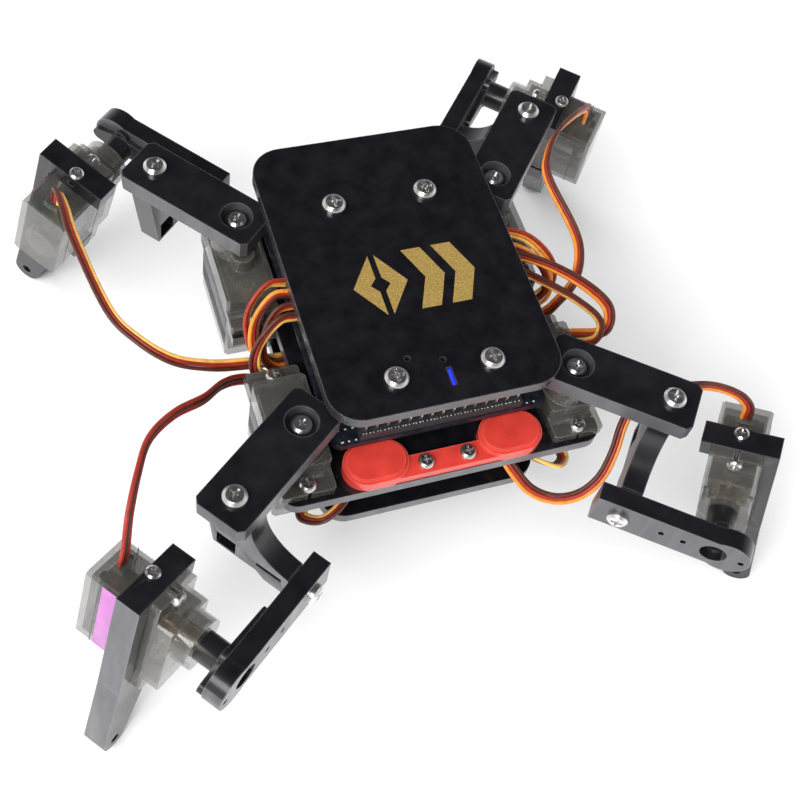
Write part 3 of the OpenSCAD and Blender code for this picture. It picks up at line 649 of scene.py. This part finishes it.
def draw_works(bm):
    """Motor, potentiometer, circuit card and gear train, in the servo's frame."""
    block(bm, (-5, -5.05, 15.2), (15.8, 5.05, 16.8), CHIP_I, 0.2)
    disc(bm, MOTOR_X, 4.6, 1.6, 14.6, CAN_I, sides=36)
    disc(bm, MOTOR_X, 2.2, 14.6, 15.2, BRASS_I, sides=24)
    disc(bm, 0, 3.6, 4.2, 15.2, CHIP_I, sides=30)
    block(bm, (-4.4, -4.6, 2.6), (4.6, 4.6, 4.2), CARD_I, 0.1)
    for x, y, w in ((-3.4, -3, 1.4), (-1.2, 1.2, 2.4), (2, -2.8, 1.6), (1.8, 2.4, 1.2)):
        block(bm, (x, y, 1.5), (x + w, y + w, 2.7), CHIP_I, 0.08)
    disc(bm, MOTOR_GEAR_X, 3.0, 16.9, 18.4, GEAR_I, teeth=18)
    disc(bm, MOTOR_GEAR_X, 1.3, 18.4, 20.4, GEAR_I, teeth=10)
    disc(bm, IDLER_X, 1.5, 16.9, 18.7, GEAR_I, teeth=10)
    disc(bm, IDLER_X, 3.9, 18.75, 19.85, GEAR_I, teeth=26)
    disc(bm, 0, 2.0, 16.9, 20.0, BRASS_I, sides=24)
    disc(bm, 0, 4.3, 20.1, 21.2, GEAR_I, teeth=30)
    disc(bm, 0, 2.35, 20.3, 29.2, GEAR_I, teeth=21)


# where labels and seam lines lie on a servo's two broad sides, in the servo's frame
LABEL_X = (-5.4, 16.2)
LABEL_Y = {-1: (-6.16, -6.1), 1: (6.1, 6.16)}
LABEL_Z = (4.6, 9.4, 14.9)
SEAM_X = (-5.6, 16.4)
SEAM_Y = {-1: (-6.16, -6.08), 1: (6.1, 6.14)}
SEAM_Z = (3.7, 15.2)
SEAM_W = 0.25


def draw_dress(labelled):
    """A drawing of the case's seam lines, and of a plain label of two bands on the labelled sides."""
    def band(bm, xs, ys, low, high, index, cut):
        block(bm, (xs[0], ys[0], low), (xs[1], ys[1], high), index, cut)

    def draw(bm):
        for face in (-1, 1):
            if face in labelled:
                band(bm, LABEL_X, LABEL_Y[face], LABEL_Z[0], LABEL_Z[1], 0, 0.02)
                band(bm, LABEL_X, LABEL_Y[face], LABEL_Z[1], LABEL_Z[2], 1, 0.02)
            for z in SEAM_Z:
                band(bm, SEAM_X, SEAM_Y[face], z, z + SEAM_W, 2, 0.01)
    return draw


def servos():
    works = [GEAR, CAN, BRASS, CHIP, CARD]
    hips = [hip_servo_frame(side, end) for side, end in LEGS.values()]
    gears = copies("hip_gears", draw_works, hips, "body", works)
    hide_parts("hip_servo_works")
    copies("hip_labels", draw_dress((-1, 1)), hips, "body", [CHIP, SEAM, SEAM])
    for leg, (side, end) in LEGS.items():
        knee = [knee_servo_frame(side, end)]
        body = "lower_leg_" + leg
        gears = copies("knee_gears_" + leg, draw_works, knee, body, works)
        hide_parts("knee_servo_works_" + leg)
        bands = [LABEL_PALE, LABEL, SEAM]
        copies("knee_label_" + leg, draw_dress((-1,)), knee, body, bands)


servos()


# ---------------------------------------------------------------- cover mark, lamp and board marks
# each mark starts just inside the surface that it lies on
EMBLEM_Z, PAD_Z, DASH_Z = 39.98, 25.99, 28.5
MARK_T = 0.06
PAD_COLUMNS = 29
DASH_COLUMNS = 46


def plate(name, outlines, z, thick, finish, cut=0.0):
    """Flat outlines in the top view raised by thick, with edges rounded by cut."""
    bm = bmesh.new()
    for outline in outlines:
        face = bm.faces.new([bm.verts.new(mm((x, y, z))) for x, y in outline])
        top = bmesh.ops.extrude_face_region(bm, geom=[face])
        raised = [v for v in top["geom"] if isinstance(v, bmesh.types.BMVert)]
        bmesh.ops.translate(bm, vec=(0, 0, thick * MM), verts=raised)
    bmesh.ops.recalc_face_normals(bm, faces=bm.faces)
    ob = add(name, bm, [finish])
    if cut:
        bevel = ob.modifiers.new("round", "BEVEL")
        bevel.width = cut * MM
        bevel.segments = 2
        apply_modifiers(ob)
    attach(ob, "body")


def swell(*at):
    return abs(noise.noise(Vector(at)))


def rectangle(x, y, wide, tall):
    return [(x, y), (x + wide, y), (x + wide, y + tall), (x, y + tall)]


def cover_emblem():
    """A diamond in two halves and two broad chevrons."""
    mark = [[(-13.2, -1), (-7.6, -9), (-7.6, -2.8), (-9.2, -1), (-7.6, 0.8), (-7.6, 7)],
            [(-6.2, -9), (-0.6, -1), (-6.2, 7), (-6.2, 0.8), (-4.6, -1), (-6.2, -2.8)]]
    for x in (0.2, 7.4):
        mark.append([(x, -9), (x + 4.6, -9), (x + 8, -1), (x + 4.6, 7), (x, 7), (x + 3.4, -1)])
    plate("cover_emblem", mark, EMBLEM_Z, 0.07, GOLD)


def lamp_slit():
    plate("lamp_slit", [rectangle(0.7, -28.8, 0.6, 3.9)], 37.3, 2.55, BLUE, 0.05)


def board_pads():
    """Two rows of pads at the board's front edge. The pin strip covers the middle of the first row."""
    marks = []
    for i in range(2 * PAD_COLUMNS):
        row, column = divmod(i, PAD_COLUMNS)
        x, y = -23.2 + column * 1.62, -30.2 + row * 3.0
        wide = 0.35 + 0.6 * swell(i * 0.73, 1.5, 0.2)
        tall = 0.25 + 0.5 * swell(i * 0.41, 7.5, 0.9)
        if row == 1 or abs(x) > 19.4:
            marks.append(rectangle(x, y, wide, tall))
    plate("board_pads", marks, PAD_Z, MARK_T, INK)


def header_marks():
    """Uneven dashes along both edges of the pin strip's base."""
    dashes = []
    for i in range(DASH_COLUMNS):
        for row, y in enumerate((-30.45, -28.5)):
            x = -18.6 + i * 0.81 + 0.3 * noise.noise(Vector((i * 0.9, row * 4.0, 3.3)))
            dashes.append(rectangle(x, y, 0.15 + 0.5 * swell(i * 0.77, row * 2.0, 8.1), 0.22))
    plate("header_marks", dashes, DASH_Z, MARK_T, INK)


cover_emblem()
lamp_slit()
board_pads()
header_marks()


# ---------------------------------------------------------------- floor and light
FLOOR_HALF = 30.0
FLOOR_GAP = 0.0002
LIGHTS_AIM = (0, 0, 0.01)


def make_floor():
    bm = bmesh.new()
    place = Matrix.Translation((0, 0, CAD_BOX[0][2] - FLOOR_GAP))
    bmesh.ops.create_grid(bm, x_segments=2, y_segments=2, size=FLOOR_HALF, matrix=place)
    paper = material("floor_paper", (0.93, 0.93, 0.93), 0.8, mottle=0.004, scale=3, rough_swing=0.05)
    add("floor", bm, [paper])


def softbox(name, at, size, power, mirrored=True):
    """A rectangular light aimed at the robot. Glossy surfaces don't show it unless it is mirrored."""
    light = bpy.data.lights.new(name, "AREA")
    light.shape = "RECTANGLE"
    light.size, light.size_y = size
    light.energy = power
    ob = bpy.data.objects.new(name, light)
    ob.location = at
    ob.rotation_euler = (Vector(at) - Vector(LIGHTS_AIM)).to_track_quat("Z", "Y").to_euler()
    ob.visible_glossy = mirrored
    scene_link(ob)


def make_daylight():
    """A very wide sun, which lights the far floor evenly."""
    daylight = bpy.data.objects.new("daylight", bpy.data.lights.new("daylight", "SUN"))
    daylight.data.energy = 2.6
    daylight.data.angle = math.radians(70)
    daylight.visible_glossy = False
    daylight.rotation_euler = Vector((-0.75, -0.35, 1)).to_track_quat("Z", "Y").to_euler()
    scene_link(daylight)


def make_studio():
    """Surroundings that are white at the horizon and dark overhead, so that level black sheets stay black."""
    world = bpy.data.worlds.new("studio")
    bpy.context.scene.world = world
    world.use_nodes = True
    tree = world.node_tree
    sky = tree.nodes["Background"]
    where = tree.nodes.new("ShaderNodeTexCoord")
    split = tree.nodes.new("ShaderNodeSeparateXYZ")
    fade = tree.nodes.new("ShaderNodeValToRGB")
    horizon, zenith = fade.color_ramp.elements
    horizon.position, horizon.color = 0.10, (1, 1, 1, 1)
    zenith.position, zenith.color = 0.60, (0.06, 0.06, 0.07, 1)
    tree.links.new(where.outputs["Generated"], split.inputs["Vector"])
    tree.links.new(split.outputs["Z"], fade.inputs["Fac"])
    tree.links.new(fade.outputs["Color"], sky.inputs["Color"])
    sky.inputs["Strength"].default_value = 0.9
    bpy.context.scene.view_settings.view_transform = "Standard"


make_floor()
softbox("key", (-0.9, -0.7, 1.1), (0.7, 0.7), 14)
softbox("fill", (1.1, -0.9, 0.8), (0.9, 0.6), 8, mirrored=False)
softbox("back", (-0.7, 1.2, 0.7), (1.0, 0.4), 8, mirrored=False)
make_daylight()
make_studio()
